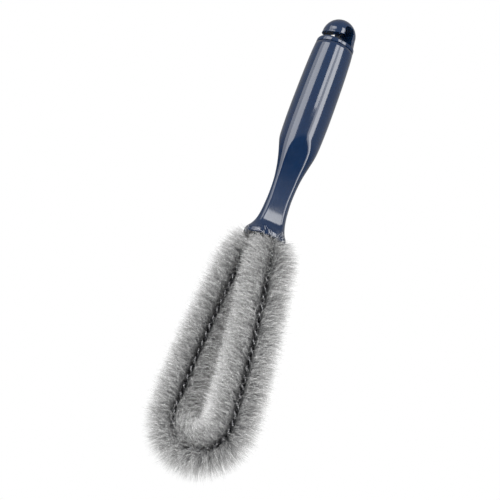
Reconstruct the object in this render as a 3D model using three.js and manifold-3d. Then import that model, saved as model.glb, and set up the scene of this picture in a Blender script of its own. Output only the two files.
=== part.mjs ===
// A wheel brush: a hollow plastic handle with a pressed-in hook cap, and a loop of two twisted
// wires that grip rows of bristle. Millimetres, +Z up, hanging from its hook.
// The origin is the crown of the hang hole, on the handle's axis. The hook's hole and slot run
// through along Y. Azimuths are measured about Z from the front, -Y, towards +X.

import * as THREE from 'three';
import { mergeVertices } from 'three/addons/utils/BufferGeometryUtils.js';
import Module from 'manifold-3d';

const wasm = await Module();
wasm.setup();

// ---- driving dimensions ----
const GAP = 0.3;                       // clearance between pieces that touch on the real brush

const DOME = { radius: 13.8, centre: -6.5 };
const HANG_HOLE = { width: 9.2, crownFlat: 3.2 };
const SLOT = { floor: -15.2, ceiling: -9.2, ceilingFall: 0.19 };
const CUT = { halfDepth: 20, arcSteps: 5 };     // the tool that cuts the hole and slot
const RIM = { top: -13.4, shoulder: 2.4, floorEnd: -8, lipStart: -13 };
const CAP_FOOT = -18.2;                // underside of the cap's rim, where the handle begins
const CAP_RADIUS = 15.7;
const PLUG = { radius: 12.6, length: 11 };

// Height and radius of the handle's outside, from the cap to the collar's lip.
const HANDLE_STATIONS = [
  [CAP_FOOT - GAP, 15.8], [-29, 16.5], [-50, 17.1], [-81, 17.35], [-102, 16.8], [-112, 15.9],
  [-122, 13.9], [-132, 12.0], [-142, 10.9], [-154, 10.4], [-164, 10.9], [-171, 11.8],
  [-177, 13.2], [-181.5, 15.0], [-184, 16.6],
];
const COLLAR = { radius: 17.0, top: -184.6, bottom: -188.5, edge: 0.8 };

// Height and depth from the axis of each thumb scoop's floor.
const SCOOP_STATIONS = [
  [-100.5, 17.6], [-104, 16.6], [-108, 15.3], [-113, 13.6], [-118, 12.1], [-123.5, 10.7], [-130, 9.4],
  [-140, 8.1], [-150, 7.8], [-160, 8.1], [-170, 8.8], [-176, 9.9], [-181, 12.4], [-184.4, 17.4],
];
const SCOOP_TURNS = [-25.5, -135.5, 94.5];   // azimuths of the three scoops, degrees

const HANDLE_BORE = { radius: 13.0, foot: -98, tip: -104 };
const WIRE_SOCKET = { radius: 4.9, top: -144 };
const COLLAR_BELL = [[-188.5, 13.4], [-184, 11.2], [-178, 7.0], [-172, 4.9]];

const WIRE = { radius: 0.9, twistRadius: 1.05, sides: 6, stepsPerTurn: 7 };
const LOOP_TURN = 27;                  // azimuth of the loop's plane, degrees
const LOOP_LEAN = 0.03;                // sideways drift of the loop per millimetre below the collar
const LOOP_RADIUS = 24.8;
const LOOP_BEND_CENTRE = -336;
// Height and half width of one leg of the loop, from the socket to the bend.
const LEG_STATIONS = [
  [-146, 2.3], [-166, 2.4], [-177, 4.2], [-188.5, 8.4], [-200, 10.9], [-218, 13.8],
  [-244, 17.2], [-272, 20.4], [-300, 22.8], [-322, 24.2],
];
const BRISTLE = { rows: 52, radius: 24, bore: 2.5, start: -189.8 };
const COLLAR_TRIM = { depth: 14, share: 0.2 };   // the rows by the collar are trimmed shorter
const BRISTLE_SIDES = 12;
const SQUARE_DEPTH = 45;               // below the collar, where the rows have turned to the wires
const BEND_HUB = 4;                    // radius left clear where the rows fan round the bend

const SIDES = { cap: 36, handle: 36, bore: 30, bell: 24 };   // segments of the turned surfaces

const NAVY = 0x2a4062;
const STEEL = 0xb9bcc0;
const SILVER = 0xb4b6b8;

// ---- solids and booleans ----
function toManifold(geometry) {
  const bare = geometry.index ? geometry.toNonIndexed() : geometry.clone();
  bare.deleteAttribute('normal');
  bare.deleteAttribute('uv');
  const merged = mergeVertices(bare, 1e-4);
  return new wasm.Manifold(new wasm.Mesh({
    numProp: 3,
    vertProperties: new Float32Array(merged.attributes.position.array),
    triVerts: new Uint32Array(merged.index.array),
  }));
}

function toGeometry(solid) {
  const mesh = solid.getMesh();
  const geometry = new THREE.BufferGeometry();
  geometry.setAttribute('position', new THREE.BufferAttribute(mesh.vertProperties, 3));
  geometry.setIndex(new THREE.BufferAttribute(mesh.triVerts, 1));
  geometry.computeVertexNormals();
  return geometry;
}

// A solid turned about Z from an outline of [height, radius] points that runs downwards
// and closes along the axis.
function turned(outline, segments) {
  const points = outline.map(([height, radius]) => new THREE.Vector2(radius, height));
  points.unshift(new THREE.Vector2(0, outline[0][0]));
  points.push(new THREE.Vector2(0, outline[outline.length - 1][0]));
  const geometry = new THREE.LatheGeometry(points.reverse(), segments);
  geometry.rotateX(Math.PI / 2);
  return toManifold(geometry);
}

// An outline in the XZ plane, extruded through along Y.
function throughCut(shape, halfDepth, arcSteps) {
  const settings = { depth: 2 * halfDepth, bevelEnabled: false, curveSegments: arcSteps };
  const geometry = new THREE.ExtrudeGeometry(shape, settings);
  geometry.rotateX(Math.PI / 2);
  geometry.translate(0, halfDepth, 0);
  return toManifold(geometry);
}

function smooth(stations, count) {
  const points = stations.map(([height, radius]) => new THREE.Vector2(height, radius));
  return new THREE.SplineCurve(points).getPoints(count).map((p) => [p.x, p.y]);
}

function named(name, geometry, colour, roughness, metalness) {
  const material = new THREE.MeshStandardMaterial({ color: colour, roughness, metalness });
  const mesh = new THREE.Mesh(geometry, material);
  mesh.name = name;
  return mesh;
}

// ---- hook cap ----
// The dome's outline runs from its pole down to the rim, and flares a little on the way.
function domeOutline() {
  const outline = [];
  const steps = 9;
  for (let i = 1; i <= steps; i += 1) {
    const angle = (i / steps) * (Math.PI / 2);
    outline.push([DOME.centre + DOME.radius * Math.cos(angle), DOME.radius * Math.sin(angle)]);
  }
  outline.push([SLOT.floor, 15.0], [CAP_FOOT, CAP_RADIUS]);
  return outline;
}

// The rim below the slot, with a rounded shoulder.
function rimOutline() {
  const outline = [];
  const steps = 4;
  for (let i = 0; i <= steps; i += 1) {
    const angle = (i / steps) * (Math.PI / 2);
    const radius = CAP_RADIUS - RIM.shoulder * (1 - Math.sin(angle));
    outline.push([RIM.top - RIM.shoulder * (1 - Math.cos(angle)), radius]);
  }
  outline.push([CAP_FOOT, CAP_RADIUS]);
  return outline;
}

// The hang hole, and the slot that leads into it from the side at -X. The slot narrows to its
// mouth, where its floor climbs to the rim's lip and its ceiling comes down to the hook's tip.
function hookCutShape() {
  const half = HANG_HOLE.width / 2;
  const flat = HANG_HOLE.crownFlat / 2;
  const arch = half - flat;
  const outside = -25;
  const lip = RIM.top - 0.1;
  const shape = new THREE.Shape();
  shape.moveTo(outside, SLOT.ceiling + SLOT.ceilingFall * (outside + half));
  shape.lineTo(-half, SLOT.ceiling);
  shape.lineTo(-half, -arch);
  shape.absarc(-flat, -arch, arch, Math.PI, Math.PI / 2, true);
  shape.absarc(flat, -arch, arch, Math.PI / 2, 0, true);
  shape.lineTo(half, SLOT.floor);
  shape.lineTo(RIM.floorEnd, SLOT.floor);
  shape.lineTo(RIM.lipStart, lip);
  shape.lineTo(outside, lip);
  shape.closePath();
  return shape;
}

function hookCap() {
  const plug = turned([[CAP_FOOT + 1, PLUG.radius], [CAP_FOOT - PLUG.length, PLUG.radius]], SIDES.cap);
  const blank = turned(domeOutline(), SIDES.cap).add(turned(rimOutline(), SIDES.cap)).add(plug);
  const cap = blank.subtract(throughCut(hookCutShape(), CUT.halfDepth, CUT.arcSteps));
  return named('hook_cap', toGeometry(cap), NAVY, 0.22, 0);
}

// ---- handle ----
function handleOutline() {
  const outline = smooth(HANDLE_STATIONS, 22);
  outline.push([COLLAR.top, COLLAR.radius - 0.2]);
  outline.push([COLLAR.top - COLLAR.edge, COLLAR.radius]);
  outline.push([COLLAR.bottom + COLLAR.edge, COLLAR.radius]);
  outline.push([COLLAR.bottom, COLLAR.radius - COLLAR.edge]);
  return outline;
}

// One scoop: everything outside its floor, which is straight across and curved along the handle.
function scoopCutter(azimuth) {
  const outside = 30;
  const halfWidth = 22;
  const floor = smooth(SCOOP_STATIONS, 18);
  const shape = new THREE.Shape();
  shape.moveTo(outside, floor[0][0]);
  floor.forEach(([height, depth]) => shape.lineTo(depth, height));
  shape.lineTo(outside, floor[floor.length - 1][0]);
  shape.closePath();
  const settings = { depth: 2 * halfWidth, bevelEnabled: false };
  const geometry = new THREE.ExtrudeGeometry(shape, settings);
  geometry.rotateX(Math.PI / 2);
  geometry.translate(0, halfWidth, 0);
  geometry.rotateZ(THREE.MathUtils.degToRad(azimuth - 90));
  return toManifold(geometry);
}

function handleBody() {
  const bore = [
    [CAP_FOOT + 1, HANDLE_BORE.radius], [HANDLE_BORE.foot, HANDLE_BORE.radius],
    [HANDLE_BORE.tip, HANDLE_BORE.radius - 5],
  ];
  const bell = [[WIRE_SOCKET.top, WIRE_SOCKET.radius]];
  COLLAR_BELL.slice().reverse().forEach((station) => bell.push(station));
  bell.push([COLLAR.bottom - 1, COLLAR_BELL[0][1]]);
  let solid = turned(handleOutline(), SIDES.handle)
    .subtract(turned(bore, SIDES.bore)).subtract(turned(bell, SIDES.bell));
  SCOOP_TURNS.forEach((azimuth) => {
    solid = solid.subtract(scoopCutter(azimuth));
  });
  return named('handle_body', toGeometry(solid), NAVY, 0.22, 0);
}

// ---- wire loop ----
// The loop leans a little from the handle's axis: this is its middle at a height.
function middleAt(height) {
  return LOOP_LEAN * Math.max(0, COLLAR.bottom - height);
}

// Points of the loop's centre line in its own plane: down one leg, round the bend, up the other.
function loopCurve() {
  const leg = LEG_STATIONS.map(([height, across]) => new THREE.Vector3(across, 0, height));
  const bend = [];
  const steps = 8;
  for (let i = 0; i <= steps; i += 1) {
    const angle = (i / steps) * Math.PI;
    const across = LOOP_RADIUS * Math.cos(angle);
    const height = LOOP_BEND_CENTRE - LOOP_RADIUS * Math.sin(angle);
    bend.push(new THREE.Vector3(across, 0, height));
  }
  const back = leg.map((p) => new THREE.Vector3(-p.x, 0, p.z)).reverse();
  const points = [...leg, ...bend, ...back];
  points.forEach((p) => p.setX(p.x + middleAt(p.z)));
  const curve = new THREE.CatmullRomCurve3(points, false, 'centripetal');
  curve.arcLengthDivisions = 1200;
  return curve;
}

// The frame of the loop at a share of its length: place, direction and the outward normal.
function loopFrame(curve, share) {
  const place = curve.getPointAt(share);
  const along = curve.getTangentAt(share);
  const outward = new THREE.Vector3(-along.z, 0, along.x);
  return { place, along, outward };
}

// One of the two wires, wound round the loop's centre line.
class WoundWire extends THREE.Curve {
  constructor(centreLine, turns, phase) {
    super();
    this.centreLine = centreLine;
    this.turns = turns;
    this.phase = phase;
  }

  getPoint(t, target = new THREE.Vector3()) {
    const { place, outward } = loopFrame(this.centreLine, t);
    const angle = 2 * Math.PI * this.turns * t + this.phase;
    target.copy(place).addScaledVector(outward, WIRE.twistRadius * Math.cos(angle));
    target.y += WIRE.twistRadius * Math.sin(angle);
    return target;
  }
}

function wireStrand(name, centreLine, turns, phase) {
  const section = new THREE.Shape();
  for (let i = 0; i < WIRE.sides; i += 1) {
    const angle = (i / WIRE.sides) * 2 * Math.PI;
    const corner = [WIRE.radius * Math.cos(angle), WIRE.radius * Math.sin(angle)];
    if (i === 0) section.moveTo(...corner);
    else section.lineTo(...corner);
  }
  section.closePath();
  const geometry = new THREE.ExtrudeGeometry(section, {
    steps: Math.round(turns * WIRE.stepsPerTurn),
    extrudePath: new WoundWire(centreLine, turns, phase),
  });
  return named(name, geometry, STEEL, 0.35, 1);
}

// ---- bristle rows ----
// The share of the loop's length at which a leg passes a height, found by halving.
function shareAtHeight(curve, height) {
  let low = 0;
  let high = 0.5;
  for (let i = 0; i < 30; i += 1) {
    const middle = (low + high) / 2;
    if (curve.getPointAt(middle).z > height) low = middle;
    else high = middle;
  }
  return low;
}

// The frame of a row's face. Just below the collar the bristles stand square to the handle
// and not to the spreading wires.
function rowFrame(curve, share) {
  const frame = loopFrame(curve, share);
  const depth = COLLAR.bottom - frame.place.z;
  const square = Math.max(0, 1 - depth / SQUARE_DEPTH);
  frame.outward.z *= 1 - square;
  frame.outward.normalize();
  return frame;
}

// How far a row may reach towards the other leg before it meets that leg's own row.
function inwardReach(frame) {
  const across = frame.place.x - middleAt(frame.place.z);
  if (frame.place.z > LOOP_BEND_CENTRE) {
    return Math.abs(across) / Math.abs(frame.outward.x) - 2 * GAP;
  }
  return Math.hypot(across, LOOP_BEND_CENTRE - frame.place.z) - BEND_HUB;
}

// One row: the bristles of half a turn of the twist, as a disc with a hole for the wires.
// Its two faces stand square to the loop at both its ends, so rows fan out round the bend.
function bristleRow(name, curve, from, to) {
  const frames = [rowFrame(curve, from), rowFrame(curve, to)];
  const depth = COLLAR.bottom - (frames[0].place.z + frames[1].place.z) / 2;
  const trim = COLLAR_TRIM.share * Math.max(0, 1 - depth / COLLAR_TRIM.depth);
  const radius = BRISTLE.radius * (1 - trim);
  const reach = Math.min(radius, ...frames.map(inwardReach));
  const disc = new THREE.Shape();
  for (let i = 0; i < BRISTLE_SIDES; i += 1) {
    const angle = ((i + 0.5) / BRISTLE_SIDES) * 2 * Math.PI;
    const inward = Math.max(-reach, radius * Math.cos(angle));
    if (i === 0) disc.moveTo(inward, radius * Math.sin(angle));
    else disc.lineTo(inward, radius * Math.sin(angle));
  }
  disc.closePath();
  const hole = new THREE.Path();
  hole.absarc(0, 0, BRISTLE.bore, 0, 2 * Math.PI, true);
  disc.holes.push(hole);
  const settings = { depth: 1, steps: 1, bevelEnabled: false, curveSegments: 4 };
  const geometry = new THREE.ExtrudeGeometry(disc, settings);
  const corners = geometry.attributes.position;
  const corner = new THREE.Vector3();
  for (let i = 0; i < corners.count; i += 1) {
    corner.fromBufferAttribute(corners, i);
    const frame = frames[corner.z < 0.5 ? 0 : 1];
    const moved = frame.place.clone().addScaledVector(frame.outward, corner.x);
    moved.y -= corner.y;
    corners.setXYZ(i, moved.x, moved.y, moved.z);
  }
  geometry.computeVertexNormals();
  return named(name, geometry, SILVER, 0.6, 0);
}

// ---- the brush ----
const brush = new THREE.Group();
brush.add(hookCap(), handleBody());

const head = new THREE.Group();
head.rotation.z = THREE.MathUtils.degToRad(LOOP_TURN - 90);
const centreLine = loopCurve();
const firstShare = shareAtHeight(centreLine, BRISTLE.start);
const rowShare = (1 - 2 * firstShare) / BRISTLE.rows;
const turns = 1 / (2 * rowShare);      // two rows to each full turn of the wires
head.add(wireStrand('wire_strand_a', centreLine, turns, 0));
head.add(wireStrand('wire_strand_b', centreLine, turns, Math.PI));
const gapShare = GAP / centreLine.getLength();
for (let i = 0; i < BRISTLE.rows; i += 1) {
  const from = firstShare + i * rowShare + gapShare / 2;
  const name = `bristle_row_${String(i + 1).padStart(2, '0')}`;
  head.add(bristleRow(name, centreLine, from, from + rowShare - gapShare));
}
brush.add(head);

export default brush;
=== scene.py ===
"""Looks for the wheel brush: a glossy navy handle with a hanging hook, and a loop of two twisted
galvanised wires that grip silver-grey filaments. The brush is worked out in millimetres, and the
stage, the lights and the camera in metres.
"""

import math

import bpy
import numpy as np
from mathutils import Matrix

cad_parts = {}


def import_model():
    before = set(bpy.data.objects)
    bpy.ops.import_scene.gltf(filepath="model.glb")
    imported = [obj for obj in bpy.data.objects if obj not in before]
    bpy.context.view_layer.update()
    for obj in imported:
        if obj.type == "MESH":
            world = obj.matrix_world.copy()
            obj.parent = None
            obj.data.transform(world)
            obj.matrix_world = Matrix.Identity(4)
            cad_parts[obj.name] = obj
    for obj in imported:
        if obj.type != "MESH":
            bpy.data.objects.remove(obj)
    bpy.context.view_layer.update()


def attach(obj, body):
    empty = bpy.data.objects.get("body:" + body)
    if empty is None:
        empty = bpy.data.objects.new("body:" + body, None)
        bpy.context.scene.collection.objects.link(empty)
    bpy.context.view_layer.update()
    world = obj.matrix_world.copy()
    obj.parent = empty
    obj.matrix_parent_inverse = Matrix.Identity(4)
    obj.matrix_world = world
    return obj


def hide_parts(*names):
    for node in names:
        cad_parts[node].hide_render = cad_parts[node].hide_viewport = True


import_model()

MM = 0.001
BODY = "root"
SEED = 20

# ---- driving dimensions, as in the CAD ----
GAP = 0.3
DOME = {"radius": 13.8, "centre": -6.5}
HANG_HOLE = {"width": 9.2, "crown_flat": 3.2}
SLOT = {"floor": -15.2, "ceiling": -9.2, "ceiling_fall": 0.19}
RIM = {"top": -13.4, "shoulder": 2.4, "floor_end": -8.0, "lip_start": -13.0}
CAP_FOOT = -18.2
CAP_RADIUS = 15.7
PLUG = {"radius": 12.6, "length": 11.0}

HANDLE_STATIONS = [
    (CAP_FOOT - GAP, 15.8), (-29, 16.5), (-50, 17.1), (-81, 17.35), (-102, 16.8), (-112, 15.9),
    (-122, 13.9), (-132, 12.0), (-142, 10.9), (-154, 10.4), (-164, 10.9), (-171, 11.8),
    (-177, 13.2), (-181.5, 15.0), (-184, 16.6),
]
COLLAR = {"radius": 17.0, "top": -184.6, "bottom": -188.5, "edge": 0.8}
SCOOP_STATIONS = [
    (-100.5, 17.6), (-104, 16.6), (-108, 15.3), (-113, 13.6), (-118, 12.1), (-123.5, 10.7), (-130, 9.4),
    (-140, 8.1), (-150, 7.8), (-160, 8.1), (-170, 8.8), (-176, 9.9), (-181, 12.4), (-184.4, 17.4),
]
SCOOP_TURNS = [-25.5, -135.5, 94.5]    # azimuths in degrees, from -Y towards +X
HANDLE_BORE = {"radius": 13.0, "foot": -98.0, "tip": -104.0}
WIRE_SOCKET = {"radius": 4.9, "top": -144.0}
COLLAR_BELL = [(-188.5, 13.4), (-184, 11.2), (-178, 7.0), (-172, 4.9)]

LOOP_TURN = math.radians(27 - 90)      # turn of the loop's plane about the handle's axis
LOOP_LEAN = 0.03
LOOP_RADIUS = 24.8
LOOP_BEND_CENTRE = -336.0
LEG_STATIONS = [
    (-146, 2.3), (-166, 2.4), (-177, 4.2), (-188.5, 8.4), (-200, 10.9), (-218, 13.8),
    (-244, 17.2), (-272, 20.4), (-300, 22.8), (-322, 24.2),
]
WIRE = {"radius": 0.9, "twist_radius": 1.05}
ROWS = 52
FIRST_ROW = -189.8
BRISTLE_RADIUS = 24.0
COLLAR_TRIM = {"depth": 14.0, "share": 0.2}
SQUARE_DEPTH = 45.0                    # below the collar, where the rows have turned to the wires

# ---- shapes that only the looks need ----
CAP_FLARE = 15.0                       # the dome's radius at the height of the slot's floor
CAP_EDGE = 0.4                         # rounding of the cap's foot
PLUG_TAPER = 0.3
CUT = {"outside": -25.0, "half_depth": 20.0, "lip_drop": 0.1, "back_rise": 3.0}
GRIP_EDGE = 0.5                        # rounding of the grip's top edge
GRIP_FOOT = -97.0                      # the handle's rings are closer together below this
BORE_TIP_RADIUS = 8.0
RIDGE_ROUNDING = 0.8                   # how softly the scoops' edges turn over
LEAST_FACING = 0.15                    # a scoop's floor doesn't reach round past this cosine
NO_CUT = 60.0                          # a radius well outside the handle

FINE = {
    "outline_steps": 12, "bell_steps": 5, "handle_columns": 288, "grip_rings": 40, "neck_rings": 200,
    "neck_start": 0.4, "cap_columns": 128, "dome_rings": 36, "flare_rings": 30, "cap_voxel": 0.28,
    "bend_points": 9, "loop_steps": 60, "direction_step": 0.5, "wire_sides": 12, "wire_steps": 18,
}

FILAMENT = {
    "per_row": 620, "radius": 0.085, "tip_radius": 0.04, "taper_start": 0.6, "sides": 3, "rings": 7,
    "overlap": 0.04, "fan": math.radians(40), "loose_fan": math.radians(85), "loose_share": 0.25,
    "spread": 0.45, "lean": 0.20, "bend": 1.1, "crimp": 0.25, "crimp_rate": (5, 11), "ragged": 1.1,
}
# The filaments part over the wires, to both sides of this azimuth, but for a few strays.
# The gap is widest at the roots, where they leave from between the wires.
PARTING = {
    "azimuth": math.radians(-38), "half_gap": math.radians(11), "root_gap": math.radians(58),
    "closing": 4, "strays": 0.06, "collar_strays": 0.6, "collar_depth": 40.0, "bend_strays": 0.55,
}
OFF_AXIS = np.array([0.31, 0.52, 0.79])     # a slanted direction, to build sections round filaments
STRIPS = "OFBake"                      # the filaments' UVs: how far along, and on which filament
STRIP_MARGIN = 0.01


# ---- curves ----
def uniform_spline(stations, steps):
    """Points on a Catmull-Rom spline through the stations, ends repeated."""
    points = np.array(stations, float)
    padded = np.vstack([points[:1], points, points[-1:]])
    made = []
    for i in range(len(points) - 1):
        p0, p1, p2, p3 = padded[i:i + 4]
        for t in np.linspace(0, 1, steps, endpoint=False):
            v0 = (p2 - p0) / 2
            v1 = (p3 - p1) / 2
            cubic = (2 * p1 - 2 * p2 + v0 + v1) * t**3
            square = (3 * p2 - 3 * p1 - 2 * v0 - v1) * t**2
            made.append(cubic + square + v0 * t + p1)
    made.append(points[-1])
    return np.array(made)


def centripetal_spline(points, steps):
    """Points on a centripetal Catmull-Rom spline through 3-D points, its ends carried straight on."""
    ends = [2 * points[0] - points[1], 2 * points[-1] - points[-2]]
    padded = [ends[0], *points, ends[1]]
    made = []
    for i in range(len(points) - 1):
        p0, p1, p2, p3 = padded[i:i + 4]
        d0, d1, d2 = (math.sqrt(np.linalg.norm(b - a)) for a, b in ((p0, p1), (p1, p2), (p2, p3)))
        start = ((p1 - p0) / d0 - (p2 - p0) / (d0 + d1) + (p2 - p1) / d1) * d1
        end = ((p2 - p1) / d1 - (p3 - p1) / (d1 + d2) + (p3 - p2) / d2) * d1
        for t in np.linspace(0, 1, steps, endpoint=False):
            cubic = (2 * p1 - 2 * p2 + start + end) * t**3
            square = (3 * p2 - 3 * p1 - 2 * start - end) * t**2
            made.append(cubic + square + start * t + p1)
    made.append(points[-1])
    return np.array(made)


def unit(vectors):
    return vectors / np.linalg.norm(vectors, axis=-1, keepdims=True)


class Loop:
    """The wires' centre line, in its own plane: x across, y through the plane, z up."""

    def __init__(self):
        leg = [np.array([across, 0.0, height]) for height, across in LEG_STATIONS]
        angles = np.linspace(0, math.pi, FINE["bend_points"])
        bend = [
            np.array([LOOP_RADIUS * math.cos(a), 0.0, LOOP_BEND_CENTRE - LOOP_RADIUS * math.sin(a)])
            for a in angles
        ]
        back = [p * (-1, 1, 1) for p in reversed(leg)]
        points = [p.copy() for p in leg + bend + back]
        for p in points:
            p[0] += LOOP_LEAN * max(0.0, COLLAR["bottom"] - p[2])
        self.line = centripetal_spline(points, FINE["loop_steps"])
        steps = np.linalg.norm(np.diff(self.line, axis=0), axis=1)
        self.lengths = np.concatenate([[0.0], np.cumsum(steps)])
        self.length = self.lengths[-1]
        down = self.line[:len(self.line) // 2]
        first_length = np.interp(-FIRST_ROW, -down[:, 2], self.lengths[:len(down)])
        self.first_share = first_length / self.length
        self.row_share = (1 - 2 * self.first_share) / ROWS

    def place(self, share):
        at = np.asarray(share) * self.length
        return np.stack([np.interp(at, self.lengths, self.line[:, k]) for k in range(3)], axis=-1)

    def frame(self, share):
        """Place, direction along the wires, and the direction out of the loop."""
        nudge = FINE["direction_step"] / self.length
        before = self.place(np.clip(np.asarray(share) - nudge, 0, 1))
        after = self.place(np.clip(np.asarray(share) + nudge, 0, 1))
        along = unit(after - before)
        outward = np.stack([-along[..., 2], np.zeros_like(along[..., 0]), along[..., 0]], axis=-1)
        return self.place(share), along, outward

    def wire_angle(self, share):
        """The twist of the wires: half a turn to each row."""
        return math.pi * np.asarray(share) / self.row_share


def in_place(points):
    """Turns points of the loop's own plane into the brush's frame."""
    c, s = math.cos(LOOP_TURN), math.sin(LOOP_TURN)
    x, y, z = points[..., 0], points[..., 1], points[..., 2]
    return np.stack([x * c - y * s, x * s + y * c, z], axis=-1)


# ---- meshes ----
def linked(name, data):
    """A new object in the scene, which shows this mesh, light or camera."""
    made = bpy.data.objects.new(name, data)
    bpy.context.scene.collection.objects.link(made)
    return made


def declare(piece, node):
    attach(piece, BODY)
    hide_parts(node)


def mesh_piece(name, vertices, faces, node, material):
    """A smooth-shaded piece made from points in millimetres, which stands for a CAD node."""
    mesh = bpy.data.meshes.new(name)
    mesh.from_pydata((np.asarray(vertices) * MM).tolist(), [], faces)
    mesh.validate()
    mesh.shade_smooth()
    mesh.materials.append(material)
    declare(linked(name, mesh), node)


def scratch_object(name, vertices, faces):
    mesh = bpy.data.meshes.new(name)
    mesh.from_pydata((np.asarray(vertices) * MM).tolist(), [], faces)
    return linked(name, mesh)


def grid_faces(rows, columns):
    """Quads between rings of points, each ring closed on itself."""
    faces = []
    for i in range(rows - 1):
        low, high = i * columns, (i + 1) * columns
        for j in range(columns):
            k = (j + 1) % columns
            faces.append((low + j, low + k, high + k, high + j))
    return faces


def closed_faces(rows, columns):
    """The faces of a body made of rings, with its first and last ring closed."""
    last = (rows - 1) * columns
    ends = [tuple(range(columns - 1, -1, -1)), tuple(range(last, last + columns))]
    return grid_faces(rows, columns) + ends


def turned_over(faces):
    return [face[::-1] for face in faces]


def ring_points(rings):
    """Rings of points from (height, radii) pairs, where radii holds one radius per column."""
    columns = len(rings[0][1])
    angles = np.arange(columns) / columns * 2 * math.pi
    made = []
    for height, radii in rings:
        made.append(np.stack([radii * np.sin(angles), -radii * np.cos(angles),
                              np.full(columns, height)], axis=-1))
    return np.concatenate(made)


def round_section(side, other, sides):
    """Unit steps from a middle line to the corners of the section round it."""
    angles = np.arange(sides) / sides * 2 * math.pi
    return side[..., None, :] * np.cos(angles)[:, None] + other[..., None, :] * np.sin(angles)[:, None]


def arc_points(centre, radius, start, end, steps):
    """Points of (across, height) on an arc; 0 degrees points along the first and 90 upwards."""
    angles = np.radians(np.linspace(start, end, steps))
    return [(centre[0] + radius * math.cos(a), centre[1] + radius * math.sin(a)) for a in angles]


def rounded_corner(centre, radius, start, end, steps):
    """Points of (height, radius) on a small arc; 0 degrees points outwards and 90 upwards."""
    angles = np.radians(np.linspace(start, end, steps))
    return [(centre[0] + radius * math.sin(a), centre[1] + radius * math.cos(a)) for a in angles]


# ---- handle ----
def smooth_least(a, b, rounding):
    share = np.clip(0.5 + 0.5 * (b - a) / rounding, 0, 1)
    return b * (1 - share) + a * share - rounding * share * (1 - share)


def handle_radii(height, base, azimuths, floor):
    """The handle's radius round one height: the turned outline, cut flat by each scoop."""
    radii = np.full(len(azimuths), base)
    depth = np.interp(-height, -floor[:, 0], floor[:, 1], left=NO_CUT, right=NO_CUT)
    for turn in SCOOP_TURNS:
        facing = np.cos(azimuths - math.radians(turn))
        cut = np.where(facing > LEAST_FACING, depth / np.maximum(facing, LEAST_FACING), NO_CUT)
        radii = smooth_least(radii, cut, RIDGE_ROUNDING)
    return radii


def handle_outside():
    """The turned outline as (height, radius) points, from the grip's top edge to the collar's foot."""
    outline = uniform_spline(HANDLE_STATIONS, FINE["outline_steps"])
    top, foot = HANDLE_STATIONS[0][0], HANDLE_STATIONS[-1][0]
    grip = np.linspace(top - GRIP_EDGE, GRIP_FOOT, FINE["grip_rings"])
    neck = np.linspace(GRIP_FOOT - FINE["neck_start"], foot, FINE["neck_rings"])
    side = [(z, np.interp(-z, -outline[:, 0], outline[:, 1])) for z in [*grip, *neck]]
    top_edge = rounded_corner((top - GRIP_EDGE, side[0][1] - GRIP_EDGE), GRIP_EDGE, 90, 0, 5)
    edge = COLLAR["edge"]
    lip_radius = COLLAR["radius"] - edge
    upper = rounded_corner((COLLAR["top"] - edge, lip_radius), edge, 60, 0, 5)
    lower = rounded_corner((COLLAR["bottom"] + edge, lip_radius), edge, 0, -90, 7)
    return [*top_edge, *side, *upper, *lower]


def handle_body(material):
    columns = FINE["handle_columns"]
    azimuths = np.arange(columns) / columns * 2 * math.pi
    floor = uniform_spline(SCOOP_STATIONS, FINE["outline_steps"])
    bore = [
        (HANDLE_BORE["tip"], BORE_TIP_RADIUS),
        (HANDLE_BORE["foot"], HANDLE_BORE["radius"]),
        (CAP_FOOT - GAP, HANDLE_BORE["radius"]),
    ]
    bell = uniform_spline(COLLAR_BELL, FINE["bell_steps"]).tolist()
    bell.append((WIRE_SOCKET["top"], WIRE_SOCKET["radius"]))
    rings = [(height, np.full(columns, radius)) for height, radius in bore]
    rings += [(height, handle_radii(height, radius, azimuths, floor)) for height, radius in handle_outside()]
    rings += [(height, np.full(columns, float(radius))) for height, radius in bell]
    faces = turned_over(closed_faces(len(rings), columns))
    mesh_piece("grip_moulding", ring_points(rings), faces, "handle_body", material)


# ---- hook cap ----
def cap_radius(height):
    """The cap's outside: the dome and its flare, or the rim where that stands further out."""
    if height > DOME["centre"]:
        dome = math.sqrt(max(0.0, DOME["radius"]**2 - (height - DOME["centre"])**2))
    else:
        dome = np.interp(-height, [-DOME["centre"], -SLOT["floor"], -CAP_FOOT],
                         [DOME["radius"], CAP_FLARE, CAP_RADIUS])
    fall = min(max(RIM["top"] - height, 0.0) / RIM["shoulder"], 1.0)
    rim = CAP_RADIUS - RIM["shoulder"] * (1 - math.sin(math.acos(1 - fall)))
    return max(dome, rim) if height < RIM["top"] else dome


def cap_blank():
    """The cap with its plug, before the hook is cut."""
    columns = FINE["cap_columns"]
    polar = np.radians(np.linspace(3, 88, FINE["dome_rings"]))
    heights = [DOME["centre"] + DOME["radius"] * math.cos(a) for a in polar]
    heights += np.linspace(DOME["centre"], CAP_FOOT + CAP_EDGE, FINE["flare_rings"]).tolist()
    profile = [(z, cap_radius(z)) for z in heights]
    profile += rounded_corner((CAP_FOOT + CAP_EDGE, CAP_RADIUS - CAP_EDGE), CAP_EDGE, 0, -90, 4)
    profile.append((CAP_FOOT, PLUG["radius"]))
    profile.append((CAP_FOOT - PLUG["length"], PLUG["radius"] - PLUG_TAPER))
    rings = [(z, np.full(columns, float(radius))) for z, radius in profile]
    return scratch_object("cap_blank", ring_points(rings), turned_over(closed_faces(len(rings), columns)))


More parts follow.
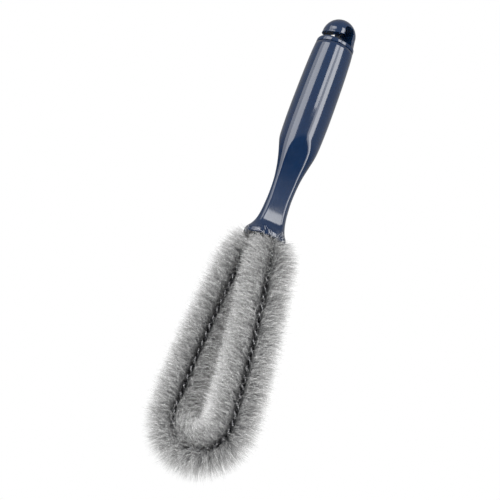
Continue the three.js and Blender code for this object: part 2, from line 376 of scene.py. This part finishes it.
def hook_cut_outline():
    """The hang hole and its slot, as (across, height) points. The first two are the slot's ceiling."""
    half = HANG_HOLE["width"] / 2
    flat = HANG_HOLE["crown_flat"] / 2
    arch = half - flat
    outside = CUT["outside"]
    lip = RIM["top"] - CUT["lip_drop"]
    return [
        (outside, SLOT["ceiling"] + SLOT["ceiling_fall"] * (outside + half)),
        (-half, SLOT["ceiling"]),
        *arc_points((-flat, -arch), arch, 180, 90, 10),
        *arc_points((flat, -arch), arch, 90, 0, 10),
        (half, SLOT["floor"]),
        (RIM["floor_end"], SLOT["floor"]),
        (RIM["lip_start"], lip),
        (outside, lip),
    ]


def hook_cutter():
    """The tool that cuts the hook. The slot's ceiling rises towards the back."""
    outline = hook_cut_outline()
    depth = CUT["half_depth"]
    rises = [CUT["back_rise"]] * 2 + [0.0] * (len(outline) - 2)
    front = [(x, -depth, z) for x, z in outline]
    back = [(x, depth, z + rise) for (x, z), rise in zip(outline, rises)]
    return scratch_object("cap_cutter", front + back, closed_faces(2, len(outline)))


def face_outwards(made):
    bpy.context.view_layer.objects.active = made
    bpy.ops.object.mode_set(mode="EDIT")
    bpy.ops.mesh.select_all(action="SELECT")
    bpy.ops.mesh.normals_make_consistent(inside=False)
    bpy.ops.object.mode_set(mode="OBJECT")


def hook_cap(material):
    """The cap with its hook cut out, then evened and softened so that its edges are round."""
    blank = cap_blank()
    cutter = hook_cutter()
    face_outwards(blank)
    face_outwards(cutter)
    cut = blank.modifiers.new("cut", "BOOLEAN")
    cut.operation = "DIFFERENCE"
    cut.solver = "EXACT"
    cut.object = cutter
    even = blank.modifiers.new("even", "REMESH")
    even.mode = "VOXEL"
    even.voxel_size = FINE["cap_voxel"] * MM
    soften = blank.modifiers.new("soften", "SMOOTH")
    soften.factor = 0.5
    soften.iterations = 5
    graph = bpy.context.evaluated_depsgraph_get()
    mesh = bpy.data.meshes.new_from_object(blank.evaluated_get(graph))
    bpy.data.objects.remove(cutter)
    bpy.data.objects.remove(blank)
    mesh.shade_smooth()
    mesh.materials.clear()
    mesh.materials.append(material)
    declare(linked("hook_moulding", mesh), "hook_cap")


# ---- wires ----
def wire(name, node, loop, phase, material):
    """A round wire wound about the loop's centre line."""
    turns = 1 / (2 * loop.row_share)
    shares = np.linspace(0, 1, round(turns * FINE["wire_steps"]))
    place, _, outward = loop.frame(shares)
    angle = loop.wire_angle(shares) + phase
    swing = outward * np.cos(angle)[:, None]
    swing[:, 1] += np.sin(angle)
    middle = place + WIRE["twist_radius"] * swing
    tangent = unit(np.gradient(middle, axis=0))
    side = unit(np.cross(tangent, outward))
    section = round_section(side, np.cross(side, tangent), FINE["wire_sides"])
    vertices = in_place(middle[:, None] + WIRE["radius"] * section).reshape(-1, 3)
    mesh_piece(name, vertices, closed_faces(len(shares), FINE["wire_sides"]), node, material)


# ---- bristles ----
def square_to_handle(place, outward):
    """Just below the collar the bristles stand square to the handle, not to the wires."""
    depth = COLLAR["bottom"] - place[:, 2]
    square = np.clip(1 - depth / SQUARE_DEPTH, 0, 1)
    turned = outward.copy()
    turned[:, 2] *= 1 - square
    return unit(turned)


def parted(angle, outward, steps, stray):
    """Moves directions out of the gap that lies open over the wires, in front and behind.
    Each filament stays on the side of the gap that its tip is on."""
    turned = PARTING["azimuth"] - LOOP_TURN
    middle = np.arctan2(-math.cos(turned), math.sin(turned) * outward[:, 0])[:, None]
    tip_off = np.mod(angle[:, -1:] - middle + math.pi, 2 * math.pi) - math.pi
    side = np.sign(tip_off)
    off = np.clip(side * (tip_off + angle - angle[:, -1:]), 0, math.pi)
    widening = (PARTING["root_gap"] - PARTING["half_gap"]) * (1 - steps)**PARTING["closing"]
    gap = PARTING["half_gap"] + widening
    moved = middle + side * (off + gap * (1 - off / (math.pi / 2)))
    return np.where(stray[:, None], angle, moved)


def stray_share(depth, along):
    """Few filaments stray across the wires on the legs, more at the collar and round the bend."""
    near_collar = np.clip(1 - depth / PARTING["collar_depth"], 0, 1)
    in_bend = 1 - np.abs(along[:, 2])
    return PARTING["strays"] + PARTING["collar_strays"] * near_collar + PARTING["bend_strays"] * in_bend


def filament_paths(loop, row, rng):
    """The middle lines of one row's filaments, from the wires to their tips."""
    count = FILAMENT["per_row"]
    start = loop.first_share + row * loop.row_share
    share = start + rng.uniform(-FILAMENT["overlap"], 1 + FILAMENT["overlap"], count) * loop.row_share
    place, along, outward = loop.frame(share)
    outward = square_to_handle(place, outward)
    half_turns = rng.integers(0, 2, count) * math.pi
    loose = rng.random(count) < FILAMENT["loose_share"]
    astray = rng.normal(0, np.where(loose, FILAMENT["loose_fan"], FILAMENT["fan"]))
    steps = np.linspace(0.0, 1.0, FILAMENT["rings"])
    start_angle = loop.wire_angle(share) + math.pi / 2 + half_turns
    angle = start_angle[:, None] + astray[:, None] * steps**FILAMENT["spread"]
    depth = COLLAR["bottom"] - place[:, 2]
    stray = rng.random(count) < stray_share(depth, along)
    angle = parted(angle, outward, steps, stray)
    direction = outward[:, None] * np.cos(angle)[..., None]
    direction[..., 1] += np.sin(angle)
    lean = rng.normal(0, FILAMENT["lean"], count)
    direction = unit(direction + (along * lean[:, None])[:, None])
    trim = COLLAR_TRIM["share"] * np.clip(1 - depth / COLLAR_TRIM["depth"], 0, 1)
    length = BRISTLE_RADIUS * (1 - trim) + rng.normal(0, FILAMENT["ragged"], count)
    tip_way = direction[:, -1]
    side = unit(np.cross(tip_way, rng.normal(size=(count, 3))))
    bend = side * rng.normal(0, FILAMENT["bend"], count)[:, None]
    reach = direction * (length[:, None] * steps)[..., None]
    sway = bend[:, None] * (steps**2)[None, :, None]
    rate = rng.uniform(*FILAMENT["crimp_rate"], count)[:, None]
    phase = rng.uniform(0, 2 * math.pi, count)[:, None]
    wave = np.sin(steps * rate + phase)
    crimp = np.cross(tip_way, side)[:, None] * (FILAMENT["crimp"] * wave * steps)[..., None]
    return place[:, None] + reach + sway + crimp, steps


def filament_faces(count, rings, sides):
    """The quads round all filaments, and the triangles that close their ends."""
    one_side = np.array(grid_faces(rings, sides))
    tip = (rings - 1) * sides
    one_end = np.array([(2, 1, 0), (tip, tip + 1, tip + 2)])
    first = (np.arange(count) * rings * sides)[:, None, None]
    return (one_side + first).reshape(-1, 4), (one_end + first).reshape(-1, 3)


def filament_mesh(name, vertices, count, rings, sides):
    """Many filaments in one mesh, with UVs that say how far along and on which one a point lies."""
    quads, ends = filament_faces(count, rings, sides)
    corners = np.concatenate([quads.ravel(), ends.ravel()])
    sizes = np.concatenate([np.full(len(quads), 4), np.full(len(ends), 3)])
    mesh = bpy.data.meshes.new(name)
    mesh.vertices.add(len(vertices))
    mesh.vertices.foreach_set("co", vertices.ravel())
    mesh.loops.add(len(corners))
    mesh.loops.foreach_set("vertex_index", corners)
    mesh.polygons.add(len(sizes))
    mesh.polygons.foreach_set("loop_start", np.concatenate([[0], np.cumsum(sizes)[:-1]]))
    along = STRIP_MARGIN + (1 - 2 * STRIP_MARGIN) * ((corners // sides) % rings / (rings - 1))
    which = (corners // (sides * rings) + 0.5) / count
    strips = mesh.uv_layers.new(name=STRIPS)
    strips.data.foreach_set("uv", np.stack([along, which], axis=-1).ravel())
    mesh.update(calc_edges=True)
    mesh.validate()
    mesh.shade_smooth()
    return mesh


def bristle_row(loop, row, rng, material):
    paths, steps = filament_paths(loop, row, rng)
    count, rings = paths.shape[:2]
    sides = FILAMENT["sides"]
    tangent = unit(np.gradient(paths, axis=1))
    side = unit(np.cross(tangent, OFF_AXIS))
    section = round_section(side, np.cross(side, tangent), sides)
    radius = np.interp(steps, [0, FILAMENT["taper_start"], 1],
                       [FILAMENT["radius"], FILAMENT["radius"], FILAMENT["tip_radius"]])
    points = paths[:, :, None] + section * radius[None, :, None, None]
    vertices = in_place(points).reshape(-1, 3) * MM
    name = f"bristles_{row + 1:02d}"
    mesh = filament_mesh(name, vertices, count, rings, sides)
    mesh.materials.append(material)
    declare(linked(name, mesh), f"bristle_row_{row + 1:02d}")


# ---- materials ----
def start_material(name):
    material = bpy.data.materials.new(name)
    material.use_nodes = True
    tree = material.node_tree
    return material, tree, tree.nodes["Principled BSDF"]


def noise(tree, coordinates, scale, detail):
    node = tree.nodes.new("ShaderNodeTexNoise")
    node.inputs["Scale"].default_value = scale
    node.inputs["Detail"].default_value = detail
    tree.links.new(coordinates, node.inputs["Vector"])
    return node.outputs["Fac"]


def ramp(tree, value, stops):
    node = tree.nodes.new("ShaderNodeValToRGB")
    elements = node.color_ramp.elements
    while len(elements) < len(stops):
        elements.new(0.5)
    for element, (position, colour) in zip(elements, stops):
        element.position = position
        element.color = (*colour, 1)
    tree.links.new(value, node.inputs["Fac"])
    return node.outputs["Color"]


def rescaled(tree, value, given, wanted):
    """A value that runs over the given range, brought to the wanted range."""
    node = tree.nodes.new("ShaderNodeMapRange")
    for socket, number in zip(("From Min", "From Max", "To Min", "To Max"), (*given, *wanted)):
        node.inputs[socket].default_value = number
    tree.links.new(value, node.inputs["Value"])
    return node.outputs["Result"]


def bump(tree, shader, value, strength, distance):
    node = tree.nodes.new("ShaderNodeBump")
    node.inputs["Strength"].default_value = strength
    node.inputs["Distance"].default_value = distance
    tree.links.new(value, node.inputs["Height"])
    tree.links.new(node.outputs["Normal"], shader.inputs["Normal"])


def navy_plastic():
    """Glossy moulded plastic, with faint clouds in its colour, smears and a slight ripple."""
    material, tree, shader = start_material("navy_plastic")
    place = tree.nodes.new("ShaderNodeTexCoord").outputs["Object"]
    clouds = noise(tree, place, scale=55, detail=3)
    colour = ramp(tree, clouds, [(0.3, (0.0025, 0.0125, 0.040)), (0.7, (0.0038, 0.016, 0.048))])
    tree.links.new(colour, shader.inputs["Base Color"])
    smears = noise(tree, place, scale=120, detail=4)
    tree.links.new(rescaled(tree, smears, (0.3, 0.7), (0.10, 0.17)), shader.inputs["Roughness"])
    ripple = noise(tree, place, scale=260, detail=2)
    bump(tree, shader, ripple, strength=0.06, distance=0.0003)
    shader.inputs["IOR"].default_value = 1.53
    shader.inputs["Coat Weight"].default_value = 0.8
    shader.inputs["Coat Roughness"].default_value = 0.06
    return material


def galvanised_steel():
    material, tree, shader = start_material("galvanised_steel")
    place = tree.nodes.new("ShaderNodeTexCoord").outputs["Object"]
    spangle = noise(tree, place, scale=700, detail=3)
    colour = ramp(tree, spangle, [(0.3, (0.40, 0.41, 0.43)), (0.7, (0.86, 0.87, 0.88))])
    tree.links.new(colour, shader.inputs["Base Color"])
    tree.links.new(rescaled(tree, spangle, (0.3, 0.7), (0.16, 0.28)), shader.inputs["Roughness"])
    grain = noise(tree, place, scale=2500, detail=2)
    bump(tree, shader, grain, strength=0.1, distance=0.0001)
    shader.inputs["Metallic"].default_value = 1.0
    return material


def silver_filament():
    """Grey nylon, each filament its own grey, with painted shade that darkens the roots and painted light
    that makes the tips paler.
    """
    material, tree, shader = start_material("silver_filament")
    strips = tree.nodes.new("ShaderNodeUVMap")
    strips.uv_map = STRIPS
    split = tree.nodes.new("ShaderNodeSeparateXYZ")
    tree.links.new(strips.outputs["UV"], split.inputs["Vector"])
    # Painted shade and light: the grey darkens towards the roots, deep among the filaments by the wires, and
    # pales to near white at the tips.
    painted_shade_to_light = ramp(tree, split.outputs["X"], [
        (0.0, (0.11, 0.112, 0.115)), (0.12, (0.26, 0.263, 0.267)), (0.35, (0.33, 0.333, 0.336)),
        (0.7, (0.44, 0.44, 0.437)), (1.0, (0.90, 0.90, 0.895)),
    ])
    each = tree.nodes.new("ShaderNodeTexWhiteNoise")
    each.noise_dimensions = "1D"
    tree.links.new(split.outputs["Y"], each.inputs["W"])
    own_grey = rescaled(tree, each.outputs["Value"], (0, 1), (0.62, 1.25))
    shade = tree.nodes.new("ShaderNodeMix")
    shade.data_type = "RGBA"
    shade.blend_type = "MULTIPLY"
    shade.inputs["Factor"].default_value = 1.0
    tree.links.new(painted_shade_to_light, shade.inputs["A"])
    tree.links.new(own_grey, shade.inputs["B"])
    tree.links.new(shade.outputs["Result"], shader.inputs["Base Color"])
    shader.inputs["Roughness"].default_value = 0.42
    return material


# ---- stage, light and camera ----
TARGET = np.array([0.0, 0.0, -0.2005])
CAMERA_AZIMUTH = math.radians(-35)
CAMERA_RISE = math.radians(-15)
CAMERA_ROLL = math.radians(20.3)
CAMERA_DISTANCE = 1.1
LENS = {"sensor": 36.0, "focal": 102.0888, "shift_x": -0.017, "shift_y": 0.0064}
FLOOR = {"half": 60.0, "height": -0.56}
# The room's brightness on matt surfaces, and in reflections, where it is dark below the horizon
# and brightens over this rise towards the ceiling.
ROOM = {"matt": 0.95, "reflected": (0.03, 0.30), "rise": (-0.05, 0.3)}


def from_azimuth(azimuth, rise=0.0):
    """A unit vector towards an azimuth, measured from -Y towards +X, and a rise above level."""
    level = math.cos(rise)
    return np.array([math.sin(azimuth) * level, -math.cos(azimuth) * level, math.sin(rise)])


def place_by_axes(made, location, right, up):
    placed = np.eye(4)
    placed[:3] = np.column_stack([right, up, np.cross(right, up), location])
    made.matrix_world = Matrix(placed.tolist())


def camera():
    lens = bpy.data.cameras.new("camera")
    lens.sensor_width = LENS["sensor"]
    lens.lens = LENS["focal"]
    lens.shift_x = LENS["shift_x"]
    lens.shift_y = LENS["shift_y"]
    made = linked("camera", lens)
    toward = from_azimuth(CAMERA_AZIMUTH, CAMERA_RISE)
    right = np.array([math.cos(CAMERA_AZIMUTH), math.sin(CAMERA_AZIMUTH), 0.0])
    up = np.cross(toward, right)
    c, s = math.cos(CAMERA_ROLL), math.sin(CAMERA_ROLL)
    place_by_axes(made, TARGET + CAMERA_DISTANCE * toward, right * c + up * s, up * c - right * s)
    bpy.context.scene.camera = made


def softbox(name, azimuth, width, radiance, height=1.2, rise=0, middle=0.17):
    """A soft light a metre from the brush's axis, which faces the height called middle.
    Its radiance is the brightness seen in reflections."""
    light = bpy.data.lights.new(name, "AREA")
    light.shape = "RECTANGLE"
    light.size = width
    light.size_y = height
    light.energy = radiance * math.pi * width * height
    made = linked(name, light)
    turn = math.radians(azimuth)
    toward = from_azimuth(turn, math.radians(rise))
    right = np.array([math.cos(turn), math.sin(turn), 0.0])
    place_by_axes(made, toward + np.array([0, 0, middle]), right, np.cross(toward, right))
    made.visible_camera = False


def stage():
    half, height = FLOOR["half"], FLOOR["height"]
    corners = [(-half, -half, height), (half, -half, height), (half, half, height), (-half, half, height)]
    mesh = bpy.data.meshes.new("floor")
    mesh.from_pydata(corners, [], [(0, 1, 2, 3)])
    floor = linked("floor", mesh)
    material, _, shader = start_material("pale_floor")
    shader.inputs["Base Color"].default_value = (0.92, 0.92, 0.92, 1)
    shader.inputs["Roughness"].default_value = 0.9
    mesh.materials.append(material)
    floor.visible_glossy = False


def world():
    """White where the camera looks past the brush, a dim room in reflections, soft light elsewhere."""
    sky = bpy.data.worlds.new("studio")
    sky.use_nodes = True
    tree = sky.node_tree
    background = tree.nodes["Background"]
    background.inputs["Color"].default_value = (1, 1, 1, 1)
    way = tree.nodes.new("ShaderNodeSeparateXYZ")
    tree.links.new(tree.nodes.new("ShaderNodeTexCoord").outputs["Generated"], way.inputs["Vector"])
    ceiling = rescaled(tree, way.outputs["Z"], ROOM["rise"], ROOM["reflected"])
    path = tree.nodes.new("ShaderNodeLightPath")
    room = tree.nodes.new("ShaderNodeMix")
    room.inputs["A"].default_value = ROOM["matt"]
    tree.links.new(path.outputs["Is Glossy Ray"], room.inputs["Factor"])
    tree.links.new(ceiling, room.inputs["B"])
    seen = tree.nodes.new("ShaderNodeMix")
    seen.inputs["B"].default_value = 1.0
    tree.links.new(path.outputs["Is Camera Ray"], seen.inputs["Factor"])
    tree.links.new(room.outputs["Result"], seen.inputs["A"])
    tree.links.new(seen.outputs["Result"], background.inputs["Strength"])
    bpy.context.scene.world = sky
    bpy.context.scene.view_settings.view_transform = "Standard"


# ---- the brush ----
navy = navy_plastic()
steel = galvanised_steel()
silver = silver_filament()
handle_body(navy)
hook_cap(navy)
centre_line = Loop()
wire("wire_wound_a", "wire_strand_a", centre_line, 0.0, steel)
wire("wire_wound_b", "wire_strand_b", centre_line, math.pi, steel)
chance = np.random.default_rng(SEED)
for row_number in range(ROWS):
    bristle_row(centre_line, row_number, chance, silver)

camera()
softbox("softbox_right", azimuth=10, width=0.38, radiance=5.0)
softbox("softbox_right_edge", azimuth=-5.8, width=0.18, radiance=2.2)
softbox("softbox_left", azimuth=-86, width=0.56, radiance=3.4)
softbox("softbox_left_edge", azimuth=-112, width=0.35, radiance=1.6)
softbox("softbox_high", azimuth=-20, width=0.24, radiance=5.0, height=0.44, rise=38, middle=-0.17)
stage()
world()
